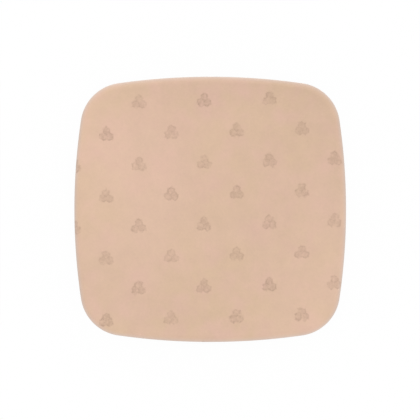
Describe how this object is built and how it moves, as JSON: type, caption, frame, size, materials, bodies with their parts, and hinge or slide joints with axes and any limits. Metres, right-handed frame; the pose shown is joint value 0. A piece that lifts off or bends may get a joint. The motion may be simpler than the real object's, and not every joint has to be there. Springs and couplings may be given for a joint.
{
  "type": "silver foam dressing",
  "caption": "Flat rounded-square foam wound dressing with bowed sides, a round pressed edge and a thin skin-toned backing film.",
  "frame": {"origin": "centre of the wound face, on the surface the dressing lies on", "axes": "+Z out of the backing film, +X along the wider way, +Y across it, towards the edge that is uppermost in the picture"},
  "size_m": [0.1012, 0.0988, 0.0046],
  "materials": {
    "foam": "matte grey open-cell foam",
    "film": "satin skin-toned film with a faint printed repeat"
  },
  "bodies": {
    "root": {"foam_pad": "foam", "backing_film": "film"}
  },
  "joints": []
}
